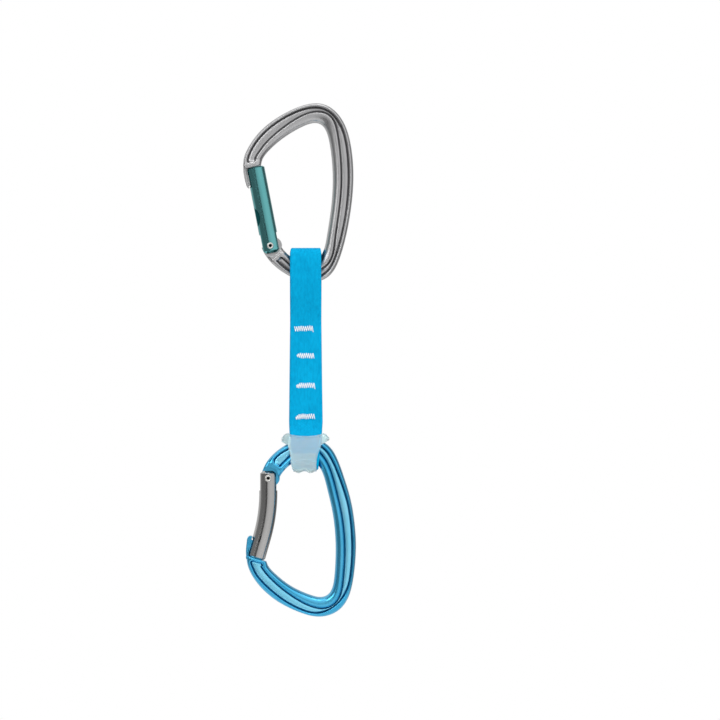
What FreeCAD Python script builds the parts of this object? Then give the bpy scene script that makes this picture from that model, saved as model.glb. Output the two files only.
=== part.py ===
"""Climbing quickdraw: two snap carabiners joined by a sewn sling with a rubber retainer.

The draw hangs in the XZ plane with +Z up. The origin is the inside top of the upper carabiner, where it
hangs from a bolt hanger. -Y is the front. All lengths are in millimetres and all angles in degrees.
"""
import FreeCAD, Part
import math
import os

import Sketcher
from FreeCAD import Placement, Rotation, Vector

doc = FreeCAD.newDocument("quickdraw")
sheet = doc.addObject("Spreadsheet::Sheet", "Sizes")


# ---------------------------------------------------------------- sizes and the expressions made of them
class Size:
    """A length or angle together with the sheet expression that gives it."""

    def __init__(self, value, text):
        self.value = value
        self.text = text

    def __add__(self, other):
        other = as_size(other)
        return Size(self.value + other.value, f"({self.text} + {other.text})")

    def __sub__(self, other):
        other = as_size(other)
        return Size(self.value - other.value, f"({self.text} - {other.text})")

    def __mul__(self, other):
        other = as_size(other)
        return Size(self.value * other.value, f"({self.text} * {other.text})")

    def __truediv__(self, other):
        other = as_size(other)
        return Size(self.value / other.value, f"({self.text} / {other.text})")

    def __neg__(self):
        return Size(-self.value, f"(0 - {self.text})")

    __radd__ = __add__
    __rmul__ = __mul__


def as_size(number):
    return number if isinstance(number, Size) else Size(float(number), repr(float(number)))


def sine(angle):
    return Size(math.sin(math.radians(angle.value)), f"sin({angle.text} * 1 deg)")


def cosine(angle):
    return Size(math.cos(math.radians(angle.value)), f"cos({angle.text} * 1 deg)")


row = 0


def cell(alias, value, note=""):
    """One row of the sheet: a name, a plain number and what it means."""
    global row
    row += 1
    sheet.set(f"A{row}", alias)
    sheet.set(f"B{row}", str(value))
    sheet.set(f"C{row}", note)
    sheet.setAlias(f"B{row}", alias)
    return Size(float(value), f"Sizes.{alias}")


def outline_cells(prefix, points):
    """Cells for the points of a closed outline."""
    return [
        (cell(f"{prefix}_x_{k}", x), cell(f"{prefix}_z_{k}", z))
        for k, (x, z) in enumerate(points, start=1)
    ]


# Carabiner section
thickness = cell("frame_thickness", 10, "carabiner frame, front to back")
groove_depth = cell("groove_depth", 2.3, "forged groove, from each face to the web")
round_outer = cell("round_outer", 1.6, "rounding of the outer edges")
round_inner = cell("round_inner", 3.0, "rounding of the rope-bearing inner edges")

# Gate, its hinge and its keylock nose
gate_radius = cell("gate_radius", 5.0)
gate_chamfer = cell("gate_chamfer", 0.7)
tongue_thick = cell("tongue_thick", 4.2, "frame tongue inside the hinge fork")
fork_gap = cell("fork_gap", 4.8, "slot between the ears of the gate")
fork_depth = cell("fork_depth", 6.9, "slot above the hinge centre")
cam_radius = cell("cam_radius", 4.6, "round end of the tongue, which lifts the pushrod")
cam_offset = cell("cam_offset", 1.7, "cam centre inward of the hinge centre")
knuckle_end = cell("knuckle_end", 4.0, "flat end of the gate below the hinge centre")
knuckle_bevel = cell("knuckle_bevel", 1.4)
ear_relief = cell("ear_relief", 6.0, "round relief in the frame for the gate ears")
rivet_radius = cell("rivet_radius", 1.5)
rivet_play = cell("rivet_play", 0.06)
rivet_head = cell("rivet_head", 1.85)
rivet_seat = cell("rivet_seat", 4.7, "half the distance between the two head seats")
rivet_half = cell("rivet_half", 5.3, "half length over the heads")
gap_side = cell("gap_side", 14, "reach of the gate gap to each side of the gate")
gap_hinge_end = cell("gap_hinge_end", 27, "length of gap cut square to the hinge")
gap_nose_end = cell("gap_nose_end", 21, "length of gap cut square to the gate end")
end_play = cell("end_play", 0.4, "gap between the gate end and the nose")
lip_play = cell("lip_play", 0.2, "gap between the gate side and the nose lip")
lip_length = cell("lip_length", 12, "nose lip outside the gate")
key_inner = cell("key_inner", 1.0, "key reach inward of the gate axis")
key_outer = cell("key_outer", 5.4, "key root inside the lip")
key_neck = cell("key_neck", 3.0, "key neck, front to back")
key_head = cell("key_head", 5.2, "key head, front to back")
key_shoulder = cell("key_shoulder", 3.6, "gate end to the shoulder of the key")
key_foot = cell("key_foot", 9.4, "gate end to the far side of the key")
key_play = cell("key_play", 0.4, "clearance all round the key")

# Spring plunger inside each gate
bore_small = cell("bore_small", 1.28, "guide bore for the pushrod tip, radius")
bore_large = cell("bore_large", 1.9, "spring bore, radius")
bore_step = cell("bore_step", 10.0)
bore_end = cell("bore_end", 25.0)
rod_tip = cell("rod_tip", 4.42, "pushrod tip above the hinge centre, clear of the cam")
rod_radius = cell("rod_radius", 1.2)
rod_dome = cell("rod_dome", 1.15)
collar_low = cell("collar_low", 11.5)
collar_high = cell("collar_high", 12.4)
collar_radius = cell("collar_radius", 1.8)
stem_radius = cell("stem_radius", 0.7)
stem_top = cell("stem_top", 20.0)
coil_radius = cell("coil_radius", 1.3)
wire_radius = cell("wire_radius", 0.25)
coil_pitch = cell("coil_pitch", 1.2)
coil_height = cell("coil_height", 11.6)

# Places of the gates
upper_hinge = (cell("upper_hinge_x", -24.0), cell("upper_hinge_z", -67.6))
upper_turn = cell("upper_turn", 11.0, "lean of the straight gate, anticlockwise from +Z")
upper_length = cell("upper_length", 44.1, "hinge centre to gate end")
window_level = cell("window_level", 16.8, "hinge centre to the middle of the scallop in the outer side")
window_cutter = cell("window_cutter", 7.1, "radius of the scallop")
window_bite = cell("window_bite", 2.5, "depth of the scallop")
window_rib = cell("window_rib", 1.5, "half thickness of the rib left between the two scallops")
lower_hinge = (cell("lower_hinge_x", -25.2), cell("lower_hinge_z", -195.2))
lower_turn = cell("lower_turn", 180, "the bent gate leaves its hinge straight down")
bend_start = cell("bend_start", 7.8, "straight stretch below the hinge centre")
bend_radius = cell("bend_radius", 90)
bend_angle = cell("bend_angle", 16)
bend_tail = cell("bend_tail", 11.7, "straight stretch after the bend")

# Sling
sling_left = cell("sling_left", -13.4)
sling_right = cell("sling_right", 4.2)
sling_foot_left = cell("sling_foot_left", -13.8)
sling_foot_right = cell("sling_foot_right", 4.8)
web_thick = cell("web_thick", 2.3, "one layer of webbing")
loop_half = cell("loop_half", 7.9, "half width of a sling loop over the bar")
top_crown = cell("top_crown", -68.7)
top_join = cell("top_join", -104.5, "where the two strands of the top loop meet")
flex_top = cell("flex_top", -107.0, "bend line below the top loop")
twist_level = cell("twist_level", -136.0, "middle of the sling")
flex_foot = cell("flex_foot", -166.6, "bend line above the bottom loop")
foot_crown = cell("foot_crown", -191.3)
flex_play = cell("flex_play", 0.2)
taper_right = cell("taper_right", 2.5, "right edge of the sling under the lower bar")
taper_left = cell("taper_left", -12.3, "left edge of the sling under the lower bar")
taper_start = cell("taper_start", -175.0)
tack_height = cell("tack_height", 3.3)
tack_thick = cell("tack_thick", 0.35)
TACKS = [
    (cell("tack_1_z", -112.9), cell("tack_1_left", -11.0), cell("tack_1_right", -0.3)),
    (cell("tack_2_z", -128.0), cell("tack_2_left", -9.6), cell("tack_2_right", 0.2)),
    (cell("tack_3_z", -144.2), cell("tack_3_left", -9.9), cell("tack_3_right", 0.7)),
    (cell("tack_4_z", -161.3), cell("tack_4_left", -10.3), cell("tack_4_right", 0.6)),
]

# Rubber retainer
rubber_thick = cell("rubber_thick", 1.1)
rubber_half = cell("rubber_half", 9.3, "half width of the retainer, front to back")
rubber_left = cell("rubber_left", -13.3)
rubber_right = cell("rubber_right", 2.9)
rubber_foot = cell("rubber_foot", -192.6)
collar_top = cell("collar_top", -171.0)
collar_foot = cell("collar_foot", -175.2)
collar_left = cell("collar_left", -16.4)
collar_right = cell("collar_right", 7.2)

# Points on the outlines, in order round each shape
upper_outer = outline_cells("upper_outer", [
    (-39.1, -24), (-36.8, -15), (-30, -4.8), (-19, 3.7), (-6, 9.7), (4.5, 10.5), (12.3, 5.7), (18.2, -4),
    (21.2, -20), (21.3, -38), (18.6, -57), (14.6, -72.5), (8.5, -84.2), (-2.8, -87.5), (-15, -83.3),
    (-26.3, -73.8), (-31.5, -60), (-35.5, -42),
])
upper_inner = outline_cells("upper_inner", [
    (-29.4, -24), (-26.2, -16.8), (-18, -9), (-8, -2.8), (0, 0), (5.6, -2.6), (8.6, -12), (10.2, -28),
    (9.6, -44), (7.3, -59.5), (4.9, -71), (-1, -76.8), (-10, -75.2), (-18.8, -67.3), (-23, -54), (-27, -38),
])
upper_groove = outline_cells("upper_groove", [
    (-20.8, -75.4), (-13.5, -81.6), (-2.8, -85.4), (7.4, -82), (13, -70), (17.3, -52), (19.2, -32),
    (17.9, -12), (13.6, 0.4), (4.5, 8.3), (-8, 6.8), (-21, -0.1), (-31, -9.2), (-36.2, -19),
    (-31.9, -19.2), (-27, -11.8), (-15, -1.6), (-2, 5.4), (8.5, 3.7), (12.6, -6), (14.9, -28),
    (13.6, -47), (11, -64), (8.8, -76.2), (-1.5, -82), (-12, -78.8), (-17.2, -73.8),
])
lower_outer = outline_cells("lower_outer", [
    (-37.2, -238), (-35.3, -246.5), (-29, -255.7), (-19, -263.8), (-7, -269.3), (3.5, -271.5),
    (13.5, -268), (19.6, -259), (22.2, -245), (23, -229), (20.8, -210), (16.6, -195.5), (11.3, -181.5),
    (4.5, -175.2), (-5, -173.6), (-16, -177.2), (-26, -186), (-30, -198), (-31.5, -214), (-35, -228),
])
lower_inner = outline_cells("lower_inner", [
    (-26.9, -239.5), (-22, -247), (-13, -254.5), (-3, -259), (4.2, -260.6), (9.6, -256.8), (11.3, -246),
    (11.8, -231), (10.3, -215), (7.2, -202), (3.9, -190.5), (-3, -184.6), (-11.5, -187), (-19.6, -195.3),
    (-21, -208), (-23.5, -225),
])
lower_groove = outline_cells("lower_groove", [
    (-21.6, -184.2), (-14.5, -179.3), (-4.5, -175.7), (5, -178.2), (10.9, -187), (15.2, -198),
    (19.2, -211), (21.1, -229), (20.3, -246), (16.6, -260), (3.8, -269.4), (-8, -266.7), (-20, -260),
    (-33.6, -246.6), (-30, -242.2), (-26.2, -247.6), (-16, -256.8), (-4, -264.3), (6, -266.4),
    (13.4, -261.5), (15.7, -250), (16.7, -234), (15.4, -218), (12.6, -205), (9.2, -192), (3.6, -181.6),
    (-4.5, -179.6), (-13, -182.6), (-18, -188.2),
])
doc.recompute()


# ---------------------------------------------------------------- helpers for bodies, sketches, features
def new_body(label):
    body = doc.addObject("PartDesign::Body", label)
    body.Label = label
    return body


def base_plane(body, role):
    return [f for f in body.Origin.OriginFeatures if f.Role == role][0]


def sketch_on(body, name, role="XZ_Plane", at=(0, 0, 0), turn=0):
    """A sketch on an origin plane, shifted by (x, y, out) in the plane and turned by an angle."""
    sketch = body.newObject("Sketcher::SketchObject", name)
    sketch.AttachmentSupport = [(base_plane(body, role), "")]
    sketch.MapMode = "FlatFace"
    shift = [as_size(v) for v in at]
    angle = as_size(turn)
    sketch.AttachmentOffset = Placement(
        Vector(*[v.value for v in shift]), Rotation(Vector(0, 0, 1), angle.value)
    )
    for axis, value in zip("xyz", shift):
        if "Sizes" in value.text:
            sketch.setExpression(f"AttachmentOffset.Base.{axis}", value.text)
    if angle.value:
        sketch.setExpression("AttachmentOffset.Rotation.Angle", angle.text)
    return sketch


def pin_point(sketch, geometry, point, x, y):
    """Hold a vertex at (x, y) from the sketch's origin, bound to the sheet."""
    for kind, value in (("DistanceX", as_size(x)), ("DistanceY", as_size(y))):
        held = sketch.addConstraint(Sketcher.Constraint(kind, -1, 1, geometry, point, value.value))
        if "Sizes" in value.text:
            sketch.setExpression(f"Constraints[{held}]", value.text)


def draw_polygon(sketch, points):
    """A closed polygon with every corner pinned."""
    corners = [(as_size(x), as_size(y)) for x, y in points]
    places = [Vector(x.value, y.value, 0) for x, y in corners]
    ends = places[1:] + places[:1]
    lines = [sketch.addGeometry(Part.LineSegment(a, b), False) for a, b in zip(places, ends)]
    for line, following in zip(lines, lines[1:] + lines[:1]):
        sketch.addConstraint(Sketcher.Constraint("Coincident", line, 2, following, 1))
    for line, (x, y) in zip(lines, corners):
        pin_point(sketch, line, 1, x, y)


def draw_box(sketch, x_low, x_high, y_low, y_high):
    draw_polygon(sketch, [(x_low, y_low), (x_high, y_low), (x_high, y_high), (x_low, y_high)])


def draw_circle(sketch, x, y, radius):
    x, y, radius = as_size(x), as_size(y), as_size(radius)
    ring = sketch.addGeometry(
        Part.Circle(Vector(x.value, y.value, 0), Vector(0, 0, 1), radius.value), False
    )
    held = sketch.addConstraint(Sketcher.Constraint("Radius", ring, radius.value))
    sketch.setExpression(f"Constraints[{held}]", radius.text)
    pin_point(sketch, ring, 3, x, y)


def draw_smooth(sketch, points):
    """A smooth closed curve that passes through the points.

    Each control point stands out of its outline point by a sixth of the outline's second difference,
    which brings a uniform cubic spline back onto the points.
    """
    count = len(points)
    poles = []
    for k in range(count):
        before, here, after = points[k - 1], points[k], points[(k + 1) % count]
        poles.append(tuple((here[i] * 8 - before[i] - after[i]) / 6 for i in (0, 1)))
    curve = Part.BSplineCurve()
    curve.buildFromPoles([Vector(x.value, z.value, 0) for x, z in poles], True, 3)
    drawn = sketch.addGeometry(curve, False)
    sketch.exposeInternalGeometry(drawn)
    for k, (x, z) in enumerate(poles, start=1):
        pin_point(sketch, drawn + k, 3, x, z)


def feature(body, kind, name, sketch, length=None, both=True, flip=False):
    """A Pad or Pocket of a sketch, centred on it or to one side."""
    made = body.newObject(f"PartDesign::{kind}", name)
    made.Profile = sketch
    made.setExpression("Length", as_size(length).text)
    if both:
        made.SideType = "Symmetric"
    made.Reversed = flip
    return made


def turned(body, kind, name, sketch, axis="V_Axis"):
    """A Revolution or Groove of a sketch about one of its own axes."""
    made = body.newObject(f"PartDesign::{kind}", name)
    made.Profile = sketch
    made.ReferenceAxis = (sketch, [axis])
    made.Angle = 360
    return made


def rounded(body, name, base, picks, radius):
    """A fillet on the edges of the last feature that the test picks."""
    doc.recompute()
    names = [f"Edge{k}" for k, edge in enumerate(base.Shape.Edges, start=1) if picks(edge)]
    made = body.newObject("PartDesign::Fillet", name)
    made.Base = (base, names)
    made.setExpression("Radius", radius.text)
    return made


# ---------------------------------------------------------------- carabiner frame
# Front and back faces: name, place of the sketch out of the XZ plane, and whether its cut is reversed
FACES = (("front", thickness / 2, False), ("back", -thickness / 2, True))


def make_frame(label, outer, inner, groove, gate):
    """Closed ring, opened for the gate, rounded and grooved, then the hinge tongue and the nose key."""
    body = new_body(label)
    outline = sketch_on(body, f"{label}_outline")
    draw_smooth(outline, outer)
    draw_smooth(outline, inner)
    feature(body, "Pad", f"{label}_ring", outline, thickness)
    opened = cut_gate_gap(body, label, gate)
    face = thickness.value / 2
    split = (min(x.value for x, z in outer) + min(x.value for x, z in inner)) / 2

    def on_outline(edge):
        box = edge.BoundBox
        curved = edge.Curve.TypeId == "Part::GeomBSplineCurve"
        return curved and box.YLength < 1e-4 and abs(abs(box.YMin) - face) < 1e-4

    soft = rounded(
        body, f"{label}_outer_round", opened,
        lambda e: on_outline(e) and e.BoundBox.XMin < split, round_outer,
    )
    rounded(
        body, f"{label}_inner_round", soft,
        lambda e: on_outline(e) and e.BoundBox.XMin > split, round_inner,
    )
    for side, place, flip in FACES:
        cut = sketch_on(body, f"{label}_groove_{side}", at=(0, 0, place))
        draw_smooth(cut, groove)
        feature(body, "Pocket", f"{label}_groove_{side}_cut", cut, groove_depth, both=False, flip=flip)
    cut_ear_relief(body, label, gate)
    add_tongue(body, label, gate)
    add_nose_key(body, label, gate)
    return body


def cut_gate_gap(body, label, gate):
    """Two cuts, one square to the hinge end of the gate and one square to its nose end."""
    inward = gate["inward"]
    near = sketch_on(body, f"{label}_gap_hinge", at=(*gate["hinge"], 0), turn=gate["turn"])
    draw_box(near, -gap_side, gap_side, 0, gap_hinge_end)
    feature(body, "Pocket", f"{label}_gap_hinge_cut", near, thickness * 2)
    far = sketch_on(body, f"{label}_gap_nose", at=(*gate["end"], 0), turn=gate["end_turn"])
    lip = (gate_radius + lip_play) * -inward
    draw_polygon(far, [
        (gap_side * inward, end_play), (lip, end_play), (lip, -lip_length), (gap_side * -inward, -lip_length),
        (gap_side * -inward, -gap_nose_end), (gap_side * inward, -gap_nose_end),
    ])
    return feature(body, "Pocket", f"{label}_gap_nose_cut", far, thickness * 2)


def cut_ear_relief(body, label, gate):
    depth = (thickness - tongue_thick) / 2
    for side, place, flip in FACES:
        relief = sketch_on(body, f"{label}_relief_{side}", at=(*gate["hinge"], place), turn=gate["turn"])
        draw_circle(relief, 0, 0, ear_relief)
        feature(body, "Pocket", f"{label}_relief_{side}_cut", relief, depth, both=False, flip=flip)


def add_tongue(body, label, gate):
    cam = sketch_on(body, f"{label}_cam", at=(*gate["hinge"], 0), turn=gate["turn"])
    draw_circle(cam, cam_offset * gate["inward"], 0, cam_radius)
    feature(body, "Pad", f"{label}_tongue", cam, tongue_thick)
    hole = sketch_on(body, f"{label}_rivet_hole", at=(*gate["hinge"], 0), turn=gate["turn"])
    draw_circle(hole, 0, 0, rivet_radius + rivet_play)
    feature(body, "Pocket", f"{label}_rivet_hole_cut", hole, thickness * 2)


def add_nose_key(body, label, gate):
    """The key's neck and head, which the slot in the gate end closes over."""
    inward = gate["inward"]
    reach = (key_outer * -inward, key_inner * inward)
    spans = (
        ("neck", key_neck, gate["reach"] - key_shoulder, gate["reach"] + end_play * 2),
        ("head", key_head, gate["reach"] - key_foot, gate["reach"] - key_shoulder),
    )
    for name, width, low, high in spans:
        drawn = sketch_on(body, f"{label}_key_{name}", at=(*gate["hinge"], 0), turn=gate["key_turn"])
        draw_box(drawn, *reach, low, high)
        feature(body, "Pad", f"{label}_key_{name}_pad", drawn, width)


# ---------------------------------------------------------------- gate and what it holds
def straight_tube(body, label, gate):
    """Tube with a round hinge end and a chamfered nose end, turned about its own axis."""
    profile = sketch_on(body, f"{label}_profile", at=(*gate["hinge"], 0), turn=gate["turn"])
    draw_polygon(profile, [
        (0, 0), (gate_radius, 0), (gate_radius, upper_length - gate_chamfer),
        (gate_radius - gate_chamfer, upper_length), (0, upper_length),
    ])
    turned(body, "Revolution", f"{label}_tube", profile)


def bent_tube(body, label, gate):
    """Tube swept down from the hinge, round the bend and on to the nose."""
    path = sketch_on(body, f"{label}_path", at=(*gate["hinge"], 0), turn=0)
    bend_x, bend_z = -bend_radius, -bend_start
    turn_x = -bend_radius * (as_size(1) - cosine(bend_angle))
    turn_z = -bend_start - bend_radius * sine(bend_angle)
    start = Vector(0, 0, 0)
    first = Vector(0, bend_z.value, 0)
    second = Vector(turn_x.value, turn_z.value, 0)
    end_x = turn_x - bend_tail * sine(bend_angle)
    end_z = turn_z - bend_tail * cosine(bend_angle)
    last = Vector(end_x.value, end_z.value, 0)
    run = path.addGeometry(Part.LineSegment(start, first), False)
    ring = Part.Circle(Vector(bend_x.value, bend_z.value, 0), Vector(0, 0, 1), bend_radius.value)
    sweep = math.radians(bend_angle.value)
    bend = path.addGeometry(Part.ArcOfCircle(ring, -sweep, 0), False)
    tail = path.addGeometry(Part.LineSegment(second, last), False)
    path.addConstraint(Sketcher.Constraint("Coincident", run, 2, bend, 2))
    path.addConstraint(Sketcher.Constraint("Coincident", bend, 1, tail, 1))
    pin_point(path, run, 1, 0, 0)
    pin_point(path, run, 2, 0, bend_z)
    level = path.addConstraint(Sketcher.Constraint("DistanceY", -1, 1, bend, 3, bend_z.value))
    path.setExpression(f"Constraints[{level}]", bend_z.text)
    pin_point(path, tail, 1, turn_x, turn_z)
    pin_point(path, tail, 2, end_x, end_z)
    section = sketch_on(body, f"{label}_section", "XY_Plane", at=(gate["hinge"][0], 0, gate["hinge"][1]))
    draw_circle(section, 0, 0, gate_radius)
    pipe = body.newObject("PartDesign::AdditivePipe", f"{label}_tube")
    pipe.Profile = section
    pipe.Spine = (path, [])
    doc.recompute()
    rim = [
        f"Edge{k}" for k, edge in enumerate(pipe.Shape.Edges, start=1)
        if edge.BoundBox.ZMax < gate["end"][1].value + gate_radius.value and edge.isClosed()
    ]
    bevel = body.newObject("PartDesign::Chamfer", f"{label}_rim")
    bevel.Base = (pipe, rim)
    bevel.setExpression("Size", gate_chamfer.text)


def make_gate(label, gate):
    body = new_body(label)
    gate["tube"](body, label, gate)
    hinge, turn, inward = gate["hinge"], gate["turn"], gate["inward"]
    knuckle = sketch_on(body, f"{label}_knuckle", at=(*hinge, 0), turn=turn)
    draw_polygon(knuckle, [
        (0, 0), (0, -knuckle_end), (gate_radius - knuckle_bevel, -knuckle_end),
        (gate_radius, knuckle_bevel - knuckle_end), (gate_radius, 0),
    ])
    turned(body, "Revolution", f"{label}_knuckle_turned", knuckle)
    fork = sketch_on(body, f"{label}_fork", at=(*hinge, 0), turn=turn)
    draw_box(fork, -gap_side, gap_side, -gap_side, fork_depth)
    feature(body, "Pocket", f"{label}_fork_cut", fork, fork_gap)
    cut_key_slot(body, label, gate)
    bore = sketch_on(body, f"{label}_bore", at=(*hinge, 0), turn=turn)
    draw_polygon(bore, [
        (0, cam_radius), (bore_small, cam_radius), (bore_small, bore_step), (bore_large, bore_step),
        (bore_large, bore_end), (0, bore_end),
    ])
    turned(body, "Groove", f"{label}_bore_cut", bore)
    hole = sketch_on(body, f"{label}_rivet_hole", at=(*hinge, 0), turn=turn)
    draw_circle(hole, 0, 0, rivet_radius + rivet_play)
    feature(body, "Pocket", f"{label}_rivet_hole_cut", hole, thickness * 2)
    for side, sign, flip in (("front", 1, True), ("back", -1, False)):
        seat = sketch_on(body, f"{label}_seat_{side}", at=(*hinge, rivet_seat * sign), turn=turn)
        draw_circle(seat, 0, 0, rivet_head + rivet_play * 2)
        feature(body, "Pocket", f"{label}_seat_{side}_cut", seat, thickness / 2, both=False, flip=flip)
    if gate["window"]:
        centre = (gate_radius - window_bite + window_cutter) * -inward
        for side, place, flip in FACES:
            window = sketch_on(body, f"{label}_window_{side}", at=(*hinge, place), turn=turn)
            draw_circle(window, centre, window_level, window_cutter)
            feature(
                body, "Pocket", f"{label}_window_{side}_cut", window, thickness / 2 - window_rib,
                both=False, flip=flip,
            )
    return body


def cut_key_slot(body, label, gate):
    """T-shaped slot, open to the outer side, that clears the nose key."""
    inward = gate["inward"]
    reach = (gap_side * -inward, (key_inner + key_play) * inward)
    shoulder = gate["reach"] - key_shoulder + key_play
    spans = (
        ("neck", key_neck + key_play, shoulder - key_play, gate["reach"] + gate_radius),
        ("head", key_head + key_play, gate["reach"] - key_foot - key_play * 2, shoulder),
    )
    for name, width, low, high in spans:
        slot = sketch_on(body, f"{label}_slot_{name}", at=(*gate["hinge"], 0), turn=gate["key_turn"])
        draw_box(slot, *reach, low, high)
        feature(body, "Pocket", f"{label}_slot_{name}_cut", slot, width)


def make_rivet(label, gate):
    """Rivet turned about the hinge axis, with a shallow dimple in each head."""
    body = new_body(label)
    profile = sketch_on(body, f"{label}_profile", "XY_Plane", at=(gate["hinge"][0], 0, gate["hinge"][1]))
    edge = rivet_half - 0.4
    dimple = rivet_half - 0.35
    draw_polygon(profile, [
        (0, -dimple), (rivet_head * 0.45, -dimple), (rivet_head * 0.6, -rivet_half),
        (rivet_head * 0.75, -rivet_half), (rivet_head, -edge), (rivet_head, -rivet_seat),
        (rivet_radius, -rivet_seat), (rivet_radius, rivet_seat), (rivet_head, rivet_seat),
        (rivet_head, edge), (rivet_head * 0.75, rivet_half), (rivet_head * 0.6, rivet_half),
        (rivet_head * 0.45, dimple), (0, dimple),
    ])
    turned(body, "Revolution", f"{label}_turned", profile)
    return body


def make_pushrod(label, gate):
    """Plunger with a domed tip, a collar that the spring bears on and a stem inside the coils."""
    body = new_body(label)
    profile = sketch_on(body, f"{label}_profile", at=(*gate["hinge"], 0), turn=gate["turn"])
    draw_polygon(profile, [
        (0, rod_tip), (rod_radius, rod_tip), (rod_radius, collar_low), (collar_radius, collar_low),
        (collar_radius, collar_high), (stem_radius, collar_high), (stem_radius, stem_top), (0, stem_top),
    ])
    shaft = turned(body, "Revolution", f"{label}_turned", profile)
    doc.recompute()
    hinge = Vector(gate["hinge"][0].value, 0, gate["hinge"][1].value)
    near = rod_tip.value + rod_radius.value

    def tip_rim(edge):
        return edge.isClosed() and edge.BoundBox.Center.distanceToPoint(hinge) < near

    rounded(body, f"{label}_dome", shaft, tip_rim, rod_dome)
    return body


def make_spring(label, gate):
    body = new_body(label)
    wire = sketch_on(body, f"{label}_wire", at=(*gate["hinge"], 0), turn=gate["turn"])
    draw_circle(wire, coil_radius, collar_high + wire_radius * 1.6, wire_radius)
    coil = body.newObject("PartDesign::AdditiveHelix", f"{label}_coil")
    coil.Profile = wire
    coil.ReferenceAxis = (wire, ["V_Axis"])
    coil.Mode = "pitch-height-angle"
    coil.setExpression("Pitch", coil_pitch.text)
    coil.setExpression("Height", coil_height.text)
    return body


# ---------------------------------------------------------------- sling, stitching and retainer
def across(body, name, left, right, outlines):
    """Pad one or more (y, z) outlines along X from left to right."""
    sketch = sketch_on(body, f"{name}_section", "YZ_Plane", at=(0, 0, left))
    for outline in outlines:
        draw_polygon(sketch, outline)
    return feature(body, "Pad", name, sketch, right - left, both=False)


def mirrored_outline(half):
    """A (y, z) outline from its half with y >= 0, listed from top to bottom."""
    return half + [(-as_size(y), z) for y, z in reversed(half) if as_size(y).value > 0]


def bend_end(body, name, left, right, level):
    """Round end of a sling section about a bend line."""
    sketch = sketch_on(body, f"{name}_section", "YZ_Plane", at=(0, 0, left))
    draw_circle(sketch, 0, level, web_thick)
    return feature(body, "Pad", name, sketch, right - left, both=False)


def make_top_loop():
    body = new_body("sling_top_loop")
    inside = loop_half - web_thick
    outer = mirrored_outline([
        (loop_half - 3.2, top_crown), (loop_half - 1, top_crown - 1), (loop_half, top_crown - 3.2),
        (loop_half, top_crown - 19.5), (web_thick, top_join), (web_thick, flex_top),
    ])
    hollow = [
        (inside - 1.2, top_crown - web_thick), (inside, top_crown - web_thick - 1.2),
        (inside, top_crown - 19.5), (0.3, top_join + 1.6), (-0.3, top_join + 1.6),
        (-inside, top_crown - 19.5), (-inside, top_crown - web_thick - 1.2),
        (-(inside - 1.2), top_crown - web_thick),
    ]
    across(body, "top_loop", sling_left, sling_right, [outer, hollow])
    bend_end(body, "top_loop_end", sling_left, sling_right, flex_top)
    return body


def make_run(label, left, right, top, foot):
    """A flat stretch of the sling: two layers sewn together."""
    body = new_body(label)
    across(body, f"{label}_pad", left, right, [[
        (-web_thick, foot), (web_thick, foot), (web_thick, top), (-web_thick, top),
    ]])
    return body


def make_bottom_loop():
    body = new_body("sling_bottom_loop")
    inside = loop_half - web_thick
    shoulder = flex_foot - 7.2
    outer = mirrored_outline([
        (web_thick, flex_foot), (loop_half, shoulder), (loop_half, foot_crown + 3.2),
        (loop_half - 1, foot_crown + 1), (loop_half - 3.2, foot_crown),
    ])
    hollow = [
        (0.3, flex_foot - 2.2), (inside, shoulder - 0.4), (inside, foot_crown + web_thick + 1.2),
        (inside - 1.2, foot_crown + web_thick), (-(inside - 1.2), foot_crown + web_thick),
        (-inside, foot_crown + web_thick + 1.2), (-inside, shoulder - 0.4), (-0.3, flex_foot - 2.2),
    ]
    across(body, "bottom_loop", sling_foot_left, sling_foot_right, [outer, hollow])
    bend_end(body, "bottom_loop_end", sling_foot_left, sling_foot_right, flex_foot)
    for side, edge, inner in (
        ("right", sling_foot_right, taper_right), ("left", sling_foot_left, taper_left),
    ):
        away = 2 if side == "right" else -2
        taper = sketch_on(body, f"taper_{side}")
        draw_polygon(taper, [
            (edge, taper_start), (edge + away, taper_start), (edge + away, foot_crown - 2),
            (inner, foot_crown - 2), (inner, foot_crown + 4),
        ])
        feature(body, "Pocket", f"taper_{side}_cut", taper, thickness * 3)
    return body


def make_tack(number, level, left, right):
    """Bar tack: a raised band of thread on the front and on the back of the sling."""
    label = f"bar_tack_{number}"
    halves = []
    for side, low in (("front", -web_thick - tack_thick), ("back", web_thick)):
        band = doc.addObject("Part::Box", f"{label}_{side}")
        band.setExpression("Length", (right - left).text)
        band.setExpression("Width", tack_thick.text)
        band.setExpression("Height", tack_height.text)
        band.setExpression("Placement.Base.x", left.text)
        band.setExpression("Placement.Base.y", low.text)
        band.setExpression("Placement.Base.z", (level - tack_height / 2).text)
        halves.append(band)
    tack = doc.addObject("Part::MultiFuse", label)
    tack.Shapes = halves
    tack.Label = label
    return tack


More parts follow.
